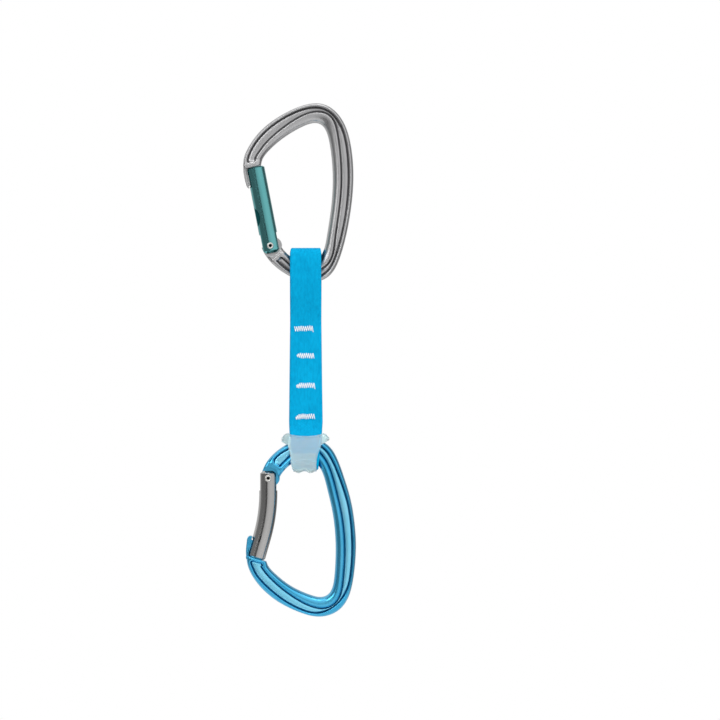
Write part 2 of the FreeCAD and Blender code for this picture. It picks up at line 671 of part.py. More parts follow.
def make_retainer():
    """Rubber keeper: a U that wraps the bottom loop, with a collar round the sling above the bar."""
    body = new_body("rubber_retainer")
    inside = rubber_half - rubber_thick
    wrap = [
        (rubber_half, collar_top), (rubber_half, rubber_foot + 2.6), (rubber_half - 2.6, rubber_foot),
        (-(rubber_half - 2.6), rubber_foot), (-rubber_half, rubber_foot + 2.6), (-rubber_half, collar_top),
        (-inside, collar_top), (-inside, rubber_foot + 3), (-(inside - 1.9), rubber_foot + rubber_thick),
        (inside - 1.9, rubber_foot + rubber_thick), (inside, rubber_foot + 3), (inside, collar_top),
    ]
    across(body, "retainer_wrap", rubber_left, rubber_right, [wrap])
    ring = sketch_on(body, "retainer_collar", "XY_Plane", at=(0, 0, collar_foot))
    draw_box(ring, collar_left, collar_right, -rubber_half, rubber_half)
    draw_box(ring, collar_left + rubber_thick * 1.4, collar_right - rubber_thick * 1.4, -inside, inside)
    feature(body, "Pad", "retainer_collar_pad", ring, collar_top - collar_foot, both=False)
    return body


# ---------------------------------------------------------------- assembly
upper_end = (
    upper_hinge[0] - upper_length * sine(upper_turn),
    upper_hinge[1] + upper_length * cosine(upper_turn),
)
bend_drop = bend_start + bend_radius * sine(bend_angle) + bend_tail * cosine(bend_angle)
bend_shift = bend_radius * (as_size(1) - cosine(bend_angle)) + bend_tail * sine(bend_angle)
lower_end = (lower_hinge[0] - bend_shift, lower_hinge[1] - bend_drop)
lower_key_turn = cell("lower_key_turn", 171.35, "line from the lower hinge to the end of the bent gate")
lower_reach = cell("lower_reach", 44.3, "lower hinge centre to the end of the bent gate")
doc.recompute()

GATES = {
    "upper": {
        "hinge": upper_hinge, "turn": upper_turn, "inward": 1, "end": upper_end, "end_turn": upper_turn,
        "key_turn": upper_turn, "reach": upper_length, "tube": straight_tube, "window": True,
    },
    "lower": {
        "hinge": lower_hinge, "turn": lower_turn, "inward": -1, "end": lower_end,
        "end_turn": lower_turn - bend_angle, "key_turn": lower_key_turn, "reach": lower_reach,
        "tube": bent_tube, "window": False,
    },
}

subparts = [
    make_frame("upper_frame", upper_outer, upper_inner, upper_groove, GATES["upper"]),
    make_frame("lower_frame", lower_outer, lower_inner, lower_groove, GATES["lower"]),
]
for place, gate in GATES.items():
    subparts += [
        make_gate(f"{place}_gate", gate),
        make_rivet(f"{place}_gate_rivet", gate),
        make_pushrod(f"{place}_gate_pushrod", gate),
        make_spring(f"{place}_gate_spring", gate),
    ]
subparts += [
    make_top_loop(),
    make_run("sling_upper_run", sling_left, sling_right, flex_top - web_thick - flex_play,
             twist_level + flex_play),
    make_run("sling_lower_run", sling_foot_left, sling_foot_right, twist_level,
             flex_foot + web_thick + flex_play),
    make_bottom_loop(),
    make_retainer(),
]
subparts += [make_tack(number, *place) for number, place in enumerate(TACKS, start=1)]
doc.recompute()

faults = [o.Label for o in doc.Objects if "Invalid" in o.State or "Error" in o.State]
faults += [s.Label for s in subparts if s.Shape.isNull() or not s.Shape.isValid()]
if faults:
    raise RuntimeError(f"these did not build: {faults}")

os.makedirs("parts", exist_ok=True)
for subpart in subparts:
    box = subpart.Shape.BoundBox
    print(
        f"{subpart.Label:22s} solids {len(subpart.Shape.Solids)} volume {subpart.Shape.Volume:9.1f}"
        f"  x {box.XMin:6.1f}..{box.XMax:6.1f}  y {box.YMin:5.1f}..{box.YMax:5.1f}"
        f"  z {box.ZMin:6.1f}..{box.ZMax:6.1f}"
    )
    subpart.Shape.exportStep(f"parts/{subpart.Label}.step")
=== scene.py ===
"""Looks of the climbing quickdraw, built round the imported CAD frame.

The scene is in metres. A length in millimetres is written times MM, or is in a table that says so.
"""
import math

import bmesh
import bpy
import numpy as np
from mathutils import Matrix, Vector
from mathutils.bvhtree import BVHTree


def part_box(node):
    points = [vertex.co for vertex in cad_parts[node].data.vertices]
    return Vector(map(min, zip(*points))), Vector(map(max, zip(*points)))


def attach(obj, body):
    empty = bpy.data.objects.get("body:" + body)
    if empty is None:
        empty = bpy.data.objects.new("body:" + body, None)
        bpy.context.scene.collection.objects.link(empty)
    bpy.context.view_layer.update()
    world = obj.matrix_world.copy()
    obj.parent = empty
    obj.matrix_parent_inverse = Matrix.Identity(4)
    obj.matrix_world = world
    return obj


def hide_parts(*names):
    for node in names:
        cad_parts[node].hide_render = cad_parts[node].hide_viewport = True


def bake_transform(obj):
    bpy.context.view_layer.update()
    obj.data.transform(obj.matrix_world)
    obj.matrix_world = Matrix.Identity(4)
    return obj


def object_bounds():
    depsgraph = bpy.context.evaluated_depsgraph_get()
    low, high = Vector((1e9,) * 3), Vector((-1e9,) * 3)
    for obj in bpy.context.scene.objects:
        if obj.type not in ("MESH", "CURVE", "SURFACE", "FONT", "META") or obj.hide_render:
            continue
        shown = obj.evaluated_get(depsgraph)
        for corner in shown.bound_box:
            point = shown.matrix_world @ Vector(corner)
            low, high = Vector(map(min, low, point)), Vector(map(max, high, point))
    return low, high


MM = 0.001
# Points between two given ones when a smooth path is worked out
FINE_STEPS = 24

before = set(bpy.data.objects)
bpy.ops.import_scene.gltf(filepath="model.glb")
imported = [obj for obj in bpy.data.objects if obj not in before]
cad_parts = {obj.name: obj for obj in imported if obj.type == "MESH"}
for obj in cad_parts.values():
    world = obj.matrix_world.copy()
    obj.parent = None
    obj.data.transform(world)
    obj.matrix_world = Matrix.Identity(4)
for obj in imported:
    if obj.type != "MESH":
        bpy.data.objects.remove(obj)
cad_low, cad_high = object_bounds()
scene = bpy.context.scene

# ------------------------------------------------------------------ places, from the CAD frame
top_loop_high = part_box("sling_top_loop")[1]
bottom_loop_low, bottom_loop_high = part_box("sling_bottom_loop")
upper_run_low, upper_run_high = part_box("sling_upper_run")
lower_run_low, lower_run_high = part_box("sling_lower_run")


# ------------------------------------------------------------------ small mesh helpers
def linked_object(name, mesh):
    made = bpy.data.objects.new(name, mesh)
    scene.collection.objects.link(made)
    return made


def new_object(name, verts, faces, smooth=True):
    mesh = bpy.data.meshes.new(name)
    mesh.from_pydata([tuple(v) for v in verts], [], [tuple(f) for f in faces])
    mesh.validate()
    mesh.update()
    if smooth:
        mesh.polygons.foreach_set("use_smooth", [True] * len(mesh.polygons))
    return linked_object(name, mesh)


def turn_outward(piece):
    """Every face of a closed piece looks out."""
    bm = bmesh.new()
    bm.from_mesh(piece.data)
    bmesh.ops.recalc_face_normals(bm, faces=bm.faces)
    bm.to_mesh(piece.data)
    bm.free()


def grid_faces(rows, columns, close_rows=False, close_columns=False):
    """Quads of a grid of points stored row by row."""
    faces = []
    for r in range(rows if close_rows else rows - 1):
        for c in range(columns if close_columns else columns - 1):
            r2, c2 = (r + 1) % rows, (c + 1) % columns
            faces.append((r * columns + c, r * columns + c2, r2 * columns + c2, r2 * columns + c))
    return faces


def tube_faces(rows, columns):
    """Quads of a tube whose rows are closed loops of points, and the caps at its two ends."""
    last = (rows - 1) * columns
    caps = [tuple(reversed(range(columns))), tuple(range(last, last + columns))]
    return grid_faces(rows, columns, close_columns=True) + caps


def line_directions(line):
    """Unit direction at each point of a line."""
    tangent = np.gradient(line, axis=0)
    return tangent / np.linalg.norm(tangent, axis=1)[:, None]


def line_normals(line):
    """Unit direction square to a plane line at each of its points, on the right of its direction."""
    tangent = line_directions(line)
    return np.stack([tangent[:, 1], -tangent[:, 0]], axis=1)


def distance_along(line):
    """Distance of each point of a line from its first point."""
    return np.concatenate([[0], np.cumsum(np.linalg.norm(np.diff(line, axis=0), axis=1))])


def smooth_path(points, step):
    """Evenly spaced points on a smooth curve through the given ones (centripetal Catmull-Rom)."""
    pts = [np.array(p, float) for p in points]
    pts = [2 * pts[0] - pts[1]] + pts + [2 * pts[-1] - pts[-2]]
    fine = []
    for p0, p1, p2, p3 in zip(pts, pts[1:], pts[2:], pts[3:]):
        knots = [0.0]
        for a, b in ((p0, p1), (p1, p2), (p2, p3)):
            knots.append(knots[-1] + max(np.linalg.norm(b - a), 1e-9) ** 0.5)
        t0, t1, t2, t3 = knots
        for t in np.linspace(t1, t2, FINE_STEPS, endpoint=False):
            a1 = (t1 - t) / (t1 - t0) * p0 + (t - t0) / (t1 - t0) * p1
            a2 = (t2 - t) / (t2 - t1) * p1 + (t - t1) / (t2 - t1) * p2
            a3 = (t3 - t) / (t3 - t2) * p2 + (t - t2) / (t3 - t2) * p3
            b1 = (t2 - t) / (t2 - t0) * a1 + (t - t0) / (t2 - t0) * a2
            b2 = (t3 - t) / (t3 - t1) * a2 + (t - t1) / (t3 - t1) * a3
            fine.append((t2 - t) / (t2 - t1) * b1 + (t - t1) / (t2 - t1) * b2)
    fine = np.array(fine + [pts[-2]])
    along = distance_along(fine)
    count = max(int(along[-1] / step), 2)
    where = np.linspace(0, along[-1], count + 1)
    return np.stack([np.interp(where, along, fine[:, k]) for k in range(fine.shape[1])], axis=1)


# ------------------------------------------------------------------ materials
def new_material(name):
    material = bpy.data.materials.new(name)
    material.use_nodes = True
    nodes, links = material.node_tree.nodes, material.node_tree.links
    shader = nodes["Principled BSDF"]
    return material, nodes, links, shader


def ramp(nodes, links, source, stops):
    """Colours that blend from stop to stop as the source rises; a stop is a position and a colour."""
    made = nodes.new("ShaderNodeValToRGB")
    made.color_ramp.elements[0].position, made.color_ramp.elements[0].color = stops[0]
    made.color_ramp.elements[1].position, made.color_ramp.elements[1].color = stops[-1]
    for position, colour in stops[1:-1]:
        made.color_ramp.elements.new(position).color = colour
    links.new(source, made.inputs["Fac"])
    return made.outputs["Color"]


def noise(nodes, links, scale, detail=4.0, stretch=(1, 1, 1)):
    """Noise fixed to the object, with the scale in waves per metre."""
    place = nodes.new("ShaderNodeTexCoord")
    mapping = nodes.new("ShaderNodeMapping")
    mapping.inputs["Scale"].default_value = stretch
    links.new(place.outputs["Object"], mapping.inputs["Vector"])
    made = nodes.new("ShaderNodeTexNoise")
    made.inputs["Scale"].default_value = scale
    made.inputs["Detail"].default_value = detail
    links.new(mapping.outputs["Vector"], made.inputs["Vector"])
    return made.outputs["Fac"]


def bump(nodes, links, shader, height, strength, distance):
    made = nodes.new("ShaderNodeBump")
    made.inputs["Strength"].default_value = strength
    made.inputs["Distance"].default_value = distance
    links.new(height, made.inputs["Height"])
    links.new(made.outputs["Normal"], shader.inputs["Normal"])


def calculated(nodes, links, operation, *values):
    """Result of one calculation on numbers and node outputs."""
    made = nodes.new("ShaderNodeMath")
    made.operation = operation
    for place, value in zip(made.inputs, values):
        if isinstance(value, (int, float)):
            place.default_value = value
        else:
            links.new(value, place)
    return made.outputs["Value"]


def varied_roughness(nodes, links, shader, grain, low, high):
    spread = nodes.new("ShaderNodeMapRange")
    spread.inputs["To Min"].default_value = low
    spread.inputs["To Max"].default_value = high
    links.new(grain, spread.inputs["Value"])
    links.new(spread.outputs["Result"], shader.inputs["Roughness"])


def anodised(name, dark, light, rough_low, rough_high, stretch=(1, 1, 1)):
    """Metal tinted by its dye or left bare, with faint mottling and fine tumbling marks. Some calls below
    give it dark or light colours as painted shade or painted light instead of a dye.
    """
    material, nodes, links, shader = new_material(name)
    shader.inputs["Metallic"].default_value = 1.0
    cloud = noise(nodes, links, 55, 5.0, stretch)
    tint = ramp(nodes, links, cloud, [(0.3, (*dark, 1)), (0.72, (*light, 1))])
    links.new(tint, shader.inputs["Base Color"])
    grain = noise(nodes, links, 2600, 3.0, stretch)
    varied_roughness(nodes, links, shader, grain, rough_low, rough_high)
    bump(nodes, links, shader, grain, 0.12, 0.03 * MM)
    return material


def paint(node, material):
    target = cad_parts[node]
    target.data.materials.clear()
    target.data.materials.append(material)


grey_metal = anodised("grey_anodised", (0.40, 0.40, 0.405), (0.47, 0.47, 0.475), 0.28, 0.40)
blue_metal = anodised("blue_anodised", (0.05, 0.37, 0.62), (0.09, 0.44, 0.69), 0.24, 0.34)
# The lower frame's web: a rougher finish, and a much lighter blue than the rest of the frame as painted
# light.
blue_web_painted_light = anodised("blue_web_painted_light", (0.20, 0.65, 0.87), (0.28, 0.71, 0.92), 0.34, 0.44)
# Dark copies of the frame colours for the walls and floors of the grooves: painted shade in the creases.
blue_groove_shade = anodised("blue_groove_shade", (0.0, 0.10, 0.22), (0.02, 0.16, 0.30), 0.40, 0.52)
grey_groove_shade = anodised("grey_groove_shade", (0.12, 0.12, 0.125), (0.19, 0.19, 0.195), 0.40, 0.52)
teal_metal = anodised("teal_anodised", (0.10, 0.34, 0.35), (0.15, 0.40, 0.41), 0.17, 0.24, (1, 1, 0.2))
bare_metal = anodised("polished_aluminium", (0.39, 0.385, 0.38), (0.46, 0.455, 0.45), 0.15, 0.22, (1, 1, 0.2))
steel = anodised("rivet_steel", (0.55, 0.54, 0.52), (0.66, 0.65, 0.62), 0.22, 0.34)

# Near-black painted shade, laid in the rivets' bores and on the bent gate's slit.
bore_shade = anodised("painted_hollow_shade", (0.015, 0.016, 0.018), (0.04, 0.042, 0.045), 0.5, 0.7)
# Dark teal painted shade, for the inside of the straight gate seen through its window.
gate_shade = anodised("gate_window_painted_shade", (0.004, 0.05, 0.055), (0.01, 0.09, 0.095), 0.4, 0.6)

paint("upper_gate", teal_metal)
paint("lower_gate", bare_metal)
for place in ("upper", "lower"):
    paint(f"{place}_gate_pushrod", steel)
    paint(f"{place}_gate_spring", steel)


def make_webbing_material():
    """Ribbed polyamide weave: warp ribs cross fine weft lines, over the strap's own UV in millimetres."""
    warp_ribs_per_mm, weft_lines_per_mm = 1.25, 2.0
    material, nodes, links, shader = new_material("sling_webbing")
    uv = nodes.new("ShaderNodeUVMap")
    uv.uv_map = "strap"
    split = nodes.new("ShaderNodeSeparateXYZ")
    links.new(uv.outputs["UV"], split.inputs["Vector"])

    def wave(source, per_mm, phase):
        turns = calculated(nodes, links, "MULTIPLY_ADD", source, per_mm * 2 * math.pi, phase)
        return calculated(nodes, links, "SINE", turns)

    warp = wave(split.outputs["X"], warp_ribs_per_mm, 0.5)
    shift = calculated(nodes, links, "MULTIPLY", warp, 1.6)
    weft = wave(split.outputs["Y"], weft_lines_per_mm, shift)
    height = calculated(nodes, links, "MULTIPLY_ADD", warp, 0.55, weft)
    fuzz = noise(nodes, links, 900, 4.0, (1, 1, 0.35))
    patches = noise(nodes, links, 120, 3.0, (1, 1, 0.5))
    mixed = calculated(nodes, links, "MULTIPLY_ADD", height, 0.10, fuzz)
    shade = calculated(nodes, links, "MULTIPLY_ADD", patches, 0.5, mixed)
    colour = ramp(nodes, links, shade, [
        (0.2, (0.0, 0.20, 0.42, 1)), (0.6, (0.0, 0.31, 0.58, 1)), (1.0, (0.001, 0.39, 0.69, 1)),
    ])
    links.new(colour, shader.inputs["Base Color"])
    shader.inputs["Roughness"].default_value = 0.8
    shader.inputs["Specular IOR Level"].default_value = 0.06
    bump(nodes, links, shader, height, 0.35, 0.09 * MM)
    return material


def make_thread_material():
    """White polyester thread, with the light and dark of its twisted fibres."""
    material, nodes, links, shader = new_material("white_thread")
    fibre = noise(nodes, links, 3500, 3.0)
    links.new(ramp(nodes, links, fibre, [(0.3, (0.70, 0.74, 0.80, 1)), (0.7, (0.93, 0.95, 0.98, 1))]),
              shader.inputs["Base Color"])
    shader.inputs["Roughness"].default_value = 0.6
    shader.inputs["Sheen Weight"].default_value = 0.3
    bump(nodes, links, shader, fibre, 0.4, 0.05 * MM)
    return material


def make_rubber_material():
    """Milky translucent rubber: light passes through, softened inside and at the moulded skin."""
    material, nodes, links, shader = new_material("clear_rubber")
    cloud = noise(nodes, links, 260, 4.0)
    links.new(ramp(nodes, links, cloud, [(0.3, (0.80, 0.99, 1, 1)), (0.75, (0.89, 1, 1, 1))]),
              shader.inputs["Base Color"])
    shader.inputs["Transmission Weight"].default_value = 0.70
    shader.inputs["IOR"].default_value = 1.36
    skin = noise(nodes, links, 1500, 3.0)
    varied_roughness(nodes, links, shader, skin, 0.28, 0.42)
    bump(nodes, links, shader, skin, 0.15, 0.04 * MM)
    return material


webbing = make_webbing_material()
thread = make_thread_material()
rubber = make_rubber_material()

# ------------------------------------------------------------------ carabiner frames
FACE = 5.0 * MM
# Each carabiner, in mm and degrees: the end of its gate, how far the gate and the nose key lean from upright
# there, the side that the lip is on, how far the bar stays plain behind the nose, the lip's outside (x, z),
# its inside (back from the gate's end, out towards the lip), and a line in the bar from nose to hinge (x, z)
# Of the material keys, "groove" holds dark copies that paint shade in the grooves, and the lower frame's
# "web" holds a lighter blue that paints light on the web.
FRAMES = {
    "upper": {
        "material": grey_metal, "web": grey_metal, "groove": grey_groove_shade, "slot": "grey_aluminium",
        "gate_metal": teal_metal, "gate_slot": "teal_aluminium",
        "gate_end": (-32.415, -24.31), "lean": -11.0, "key_lean": -11.0, "lip_side": 1, "plain": 1.6,
        "lip": [(-38.75, -27.5), (-38.35, -29.9), (-37.65, -33.0), (-37.1, -34.7), (-36.6, -35.6),
                (-36.05, -35.9), (-35.65, -35.6)],
        "inside": [(10.3, 5.25), (10.1, 5.75), (9.7, 5.75), (9.5, 5.25), (7.5, 5.25), (7.3, 5.8),
                   (6.9, 5.8), (6.7, 5.25), (3.0, 5.25), (-0.35, 5.25)],
        "guide": [(-34.29, -24.17), (-34.5, -19), (-28.9, -10.4), (-18, -0.9), (-6, 6.2), (4.3, 6.9),
                  (11, 2), (15.3, -9), (17.1, -30), (15.5, -50), (12, -67), (8.2, -79), (-2, -83.7),
                  (-12.7, -80.2), (-18.6, -75.1), (-20.3, -73.1)],
    },
    "lower": {
        "material": blue_metal, "web": blue_web_painted_light, "groove": blue_groove_shade, "slot": "blue_aluminium",
        "gate_metal": bare_metal, "gate_slot": "bare_aluminium",
        "gate_end": (-31.911, -239.054), "lean": 196.0, "key_lean": 188.65, "lip_side": -1, "plain": 0.4,
        "lip": [(-37.45, -236.2), (-37.35, -233.6), (-37.05, -230.8), (-36.8, -228.6), (-36.4, -227.6),
                (-35.6, -227.05), (-34.7, -227.0), (-34.1, -227.4)],
        "inside": [(10.6, 5.25), (6.5, 5.25), (6.3, 6.1), (5.9, 6.3), (5.2, 6.1), (5.0, 5.25), (3.0, 5.25),
                   (-0.35, 5.25)],
        "guide": [(-32.05, -239.55), (-32.6, -244.0), (-28.3, -250), (-18, -258.4), (-6, -265.5),
                  (5, -267.9), (15, -260.7), (18, -248), (18.9, -231.5), (17.3, -214.5), (13.9, -201.5),
                  (10, -189.5), (4.3, -179.9), (-4.5, -177.6), (-13.7, -181), (-19.8, -186.2),
                  (-21.8, -188.9)],
    },
}
# Points round half of the bar's section: outer edge, wall with its groove on each side, web, inner edge
OUTER_POINTS, WALL_POINTS, WEB_POINTS, INNER_POINTS = 12, 9, 4, 18
FAR_WALL = OUTER_POINTS + WALL_POINTS + WEB_POINTS
# Columns of the groove walls and floors, which take the groove material: painted shade in the creases.
GROOVE_SHADE_COLUMNS = (*range(OUTER_POINTS + 2, OUTER_POINTS + 5), *range(FAR_WALL + 3, FAR_WALL + 6))
WEB_COLUMNS = range(OUTER_POINTS + 6, FAR_WALL + 2)
# How far the web, and the bottom of the groove on each side of it, lie below the face of the bar, in mm
WEB_DROP, GROOVE_DROP = 1.6, 2.35
# Stations along the bar, in mm apart, and how far rays look for its surface
STATION = 0.5
REACH = 30 * MM
# Half thickness of the lip and of the key's neck and head, in mm
LIP_HALF, NECK_HALF, HEAD_HALF = 3.3, 1.4, 1.9


def superellipse(count, bluntness):
    """Quarter turn from (0, 0) to (1, 1), leaving upright and arriving flat."""
    turn = np.linspace(0, math.pi / 2, count)
    return 1 - np.cos(turn) ** (2 / bluntness), np.sin(turn) ** (2 / bluntness)


def grooved_half_section(width, outer_rim, inner_rim):
    """Front half of the I-beam section from the outer edge to the inner: distance in and height, in mm."""
    face = FACE / MM
    web_face = face - WEB_DROP
    groove_floor = face - GROOVE_DROP
    step = min(1.0, (width - outer_rim - inner_rim) * 0.33)
    in_x, in_y = superellipse(OUTER_POINTS, 2.3)
    out_x, out_y = superellipse(INNER_POINTS, 2.1)
    rim_top = outer_rim * 0.62
    crest, crest_height = inner_rim - 0.85, face - 0.3
    left, right = outer_rim, width - inner_rim
    # Down the wall of a groove, along its floor and up onto the web: distance from the rim, and height
    groove = [
        (0, face - 1.9), (0.14, groove_floor), (0.34, groove_floor), (0.5, face - 1.95),
        (step * 0.8, web_face - 0.08), (step * 1.15, web_face),
    ]
    near = [
        (rim_top + (left - rim_top) * 0.35, face - 0.10), (rim_top + (left - rim_top) * 0.65, face - 0.42),
        (left - 0.06, face - 1.2),
    ]
    near += [(left + across, height) for across, height in groove]
    web = [(left + (right - left) * share, web_face + 0.1 * math.sin(share * math.pi))
           for share in np.linspace(0.42, 0.58, WEB_POINTS)]
    far = [(right - across, height) for across, height in reversed(groove)]
    far += [(right + 0.1, face - 1.1), (right + 0.3, face - 0.55), (right + 0.58, face - 0.34)]
    outer = list(zip(in_x * rim_top, in_y * face))
    inner = list(zip(width - out_x[::-1] * crest, out_y[::-1] * crest_height))
    return np.array(outer + near + web + far + inner)


def plain_half_section(width):
    """The same count of points on the CAD's plain rounded section, a hair outside it."""
    hair, outer_round, inner_round = 0.03, 1.6, 3.0
    face = FACE / MM + hair
    in_x, in_y = superellipse(OUTER_POINTS, 2.0)
    out_x, out_y = superellipse(INNER_POINTS, 2.0)
    outer = [(x * outer_round - hair, (face - outer_round) * min(k / 3, 1) + y * outer_round)
             for k, (x, y) in enumerate(zip(in_x, in_y))]
    across = np.linspace(outer_round + 0.6, width - inner_round - 0.6, 2 * WALL_POINTS + WEB_POINTS)
    middle = [(x, face) for x in across]
    inner = [(width + hair - x * inner_round, (face - inner_round) * min(k / 3, 1) + y * inner_round)
             for k, (x, y) in enumerate(zip(out_x, out_y))][::-1]
    return np.array(outer + middle + inner)


def soft_step(value, low, high):
    """From 0 below low to 1 above high, level at both ends."""
    share = np.clip((value - low) / (high - low), 0, 1)
    return share * share * (3 - 2 * share)


def node_tree(node):
    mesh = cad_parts[node].data
    return BVHTree.FromPolygons([v.co for v in mesh.vertices], [p.vertices for p in mesh.polygons])


def read_rims(tree, middle, outward, to_outside, to_inside):
    """Widths of the rims on both sides of the groove at one station, or nan where there is no groove."""
    surface = tree.ray_cast(Vector((middle.x, -20 * MM, middle.z)), Vector((0, 1, 0)), REACH)[0]
    if surface is None or -surface.y >= FACE - 1 * MM:
        return np.nan, np.nan
    high = Vector((middle.x, -FACE + 0.8 * MM, middle.z))
    wall_out = tree.ray_cast(high, outward, REACH)[0]
    wall_in = tree.ray_cast(high, -outward, REACH)[0]
    if wall_out is None or wall_in is None:
        return np.nan, np.nan
    return to_outside - (wall_out - high).length, to_inside - (wall_in - high).length


def read_ring(node, guide, lean):
    """Stations along a frame: place of an edge, direction to the other, width, distance along, rim widths.

    The first stations turn from square across the gate to square across the bar.
    """
    turned_by = 6.0
    tree = node_tree(node)
    line = smooth_path([(x * MM, z * MM) for x, z in guide], STATION * MM)
    tangent = line_directions(line)
    square = np.array([math.sin(math.radians(lean)), math.cos(math.radians(lean))])
    share = 1 - soft_step(np.arange(len(line)) * STATION, 0.0, turned_by)
    tangent = tangent * (1 - share)[:, None] + square * share[:, None]
    tangent /= np.linalg.norm(tangent, axis=1)[:, None]
    stations, kept = [], []
    for k, ((x, z), (tx, tz)) in enumerate(zip(line, tangent)):
        outward = Vector((-tz, 0, tx))
        middle = Vector((x, 0, z))
        outer_hit = tree.ray_cast(middle, outward, REACH)[0]
        inner_hit = tree.ray_cast(middle, -outward, REACH)[0]
        if outer_hit is None or inner_hit is None:
            continue
        kept.append(k)
        rims = read_rims(tree, middle, outward, (outer_hit - middle).length, (inner_hit - middle).length)
        stations.append((outer_hit, -outward, (outer_hit - inner_hit).length, *rims))
    edges, inward, widths, *rims = (np.array(column) for column in zip(*stations))
    along = distance_along(line[kept]) / MM
    sides = []
    for read in rims:
        good = np.flatnonzero(~np.isnan(read))[5:-5]
        sides.append(np.interp(along, along[good], read[good] / MM))
    return edges, inward, widths / MM, along, sides


def smoothed(values, passes):
    """Values evened out along the ring, with both ends held."""
    out = np.array(values, float)
    for _ in range(passes):
        out[1:-1] = (out[:-2] + 2 * out[1:-1] + out[2:]) / 4
    return out


def make_ring(place):
    """The forged bar of one frame, from its nose to its hinge end, with the I-beam groove on both faces."""
    node, made = f"{place}_frame", FRAMES[place]
    edges, inward, widths, along, (rim_out, rim_in) = read_ring(node, made["guide"], made["lean"])
    rim_out, rim_in = smoothed(rim_out, 12), smoothed(rim_in, 12)
    past_nose = soft_step(along, made["plain"], made["plain"] + 2.0)
    before_hinge = soft_step(along[-1] - along, 1.0, 3.4)
    depth = past_nose * before_hinge
    rows = []
    for k in range(len(along)):
        full = grooved_half_section(widths[k], rim_out[k], rim_in[k])
        plain = plain_half_section(widths[k])
        half = plain + (full - plain) * depth[k]
        ring = np.concatenate([half, half[-2:0:-1] * (1, -1)])
        point = np.zeros((len(ring), 3))
        point += edges[k] * (1, 0, 1)
        point += inward[k] * ring[:, :1] * MM
        point[:, 1] = -ring[:, 1] * MM
        rows.append(point)
    count, size = len(rows), len(rows[0])
    ring = new_object(f"{place}_ring", np.concatenate(rows), tube_faces(count, size))
    turn_outward(ring)
    # Slot 1 paints the groove walls and floors dark as shade; slot 2 holds the web's colour, on the lower
    # frame a lighter blue as painted light.
    for material in (made["material"], made["groove"], made["web"]):
        ring.data.materials.append(material)
    half = (size + 2) // 2
    for face in ring.data.polygons:
        row, column = divmod(face.index, size)
        column = column if column < half - 1 else size - 1 - column
        if row < count - 1 and depth[row] > 0.6:
            face.material_index = 1 if column in GROOVE_SHADE_COLUMNS else 2 if column in WEB_COLUMNS else 0
    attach(ring, node)
    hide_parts(node)
    return edges, inward, widths


def softened(mesh, name, grain, passes):
    """A new object on the mesh fused into one skin, with every edge softly rounded."""
    rough = linked_object("rough", mesh)
    fuse = rough.modifiers.new("fuse", "REMESH")
    fuse.mode, fuse.voxel_size = "VOXEL", grain
    soften = rough.modifiers.new("soften", "SMOOTH")
    soften.factor, soften.iterations = 0.5, passes
    skin = bpy.data.meshes.new_from_object(rough.evaluated_get(bpy.context.evaluated_depsgraph_get()))
    bpy.data.objects.remove(rough)
    skin.polygons.foreach_set("use_smooth", [True] * len(skin.polygons))
    return linked_object(name, skin)


def keep_near(bm, place):
    """Of the loose pieces that a cut leaves, keep the one nearest the cut."""
    left = set(bm.verts)
    islands = []
    while left:
        seed = left.pop()
        island, to_visit = {seed}, [seed]
        while to_visit:
            for edge in to_visit.pop().link_edges:
                for vert in edge.verts:
                    if vert in left:
                        left.discard(vert)
                        island.add(vert)
                        to_visit.append(vert)
        islands.append(island)
    nearest = min(islands, key=lambda island: min((v.co - place).length for v in island))
    bmesh.ops.delete(bm, geom=[v for v in bm.verts if v not in nearest], context="VERTS")


def make_tongue(place, at, away):
    """The part of a CAD frame beyond a plane square to the bar: its hinge tongue."""
    node, made = f"{place}_frame", FRAMES[place]
    bm = bmesh.new()
    bm.from_mesh(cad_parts[node].data)
    bmesh.ops.remove_doubles(bm, verts=bm.verts, dist=0.0001 * MM)
    geometry = bm.verts[:] + bm.edges[:] + bm.faces[:]
    bmesh.ops.bisect_plane(bm, geom=geometry, plane_co=at, plane_no=away, clear_inner=True)
    bmesh.ops.holes_fill(bm, edges=[e for e in bm.edges if e.is_boundary])
    keep_near(bm, at)
    mesh = bpy.data.meshes.new(f"{place}_tongue")
    bm.to_mesh(mesh)
    bm.free()
    tongue = softened(mesh, f"{place}_tongue", grain=0.13 * MM, passes=4)
    tongue.data.materials.append(made["material"])
    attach(tongue, node)
    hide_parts(node)


def gate_point(place, back, out, lean="lean"):
    """Place in the plane of the frame, in mm: so far back from the gate end, so far out towards the lip."""
    made = FRAMES[place]
    turn = math.radians(made[lean])
    ahead = np.array([math.sin(turn), math.cos(turn)])
    side = np.array([-ahead[1], ahead[0]]) * made["lip_side"]
    return np.array(made["gate_end"]) - ahead * back + side * out


def add_slab(bm, outline, half):
    """Solid with the outline in the plane of the frame, reaching half its thickness to each side, in mm."""
    count = len(outline)
    front = [bm.verts.new((x * MM, -half * MM, z * MM)) for x, z in outline]
    back = [bm.verts.new((x * MM, half * MM, z * MM)) for x, z in outline]
    faces = [bm.faces.new(front), bm.faces.new(back[::-1])]
    for k in range(count):
        n = (k + 1) % count
        faces.append(bm.faces.new((front[n], front[k], back[k], back[n])))
    bmesh.ops.triangulate(bm, faces=faces)


def slabs_mesh(name, slabs):
    """A mesh of slabs, each given by its outline and half its thickness."""
    bm = bmesh.new()
    for outline, half in slabs:
        add_slab(bm, outline, half)
    bmesh.ops.recalc_face_normals(bm, faces=bm.faces)
    mesh = bpy.data.meshes.new(name)
    bm.to_mesh(mesh)
    bm.free()
    return mesh


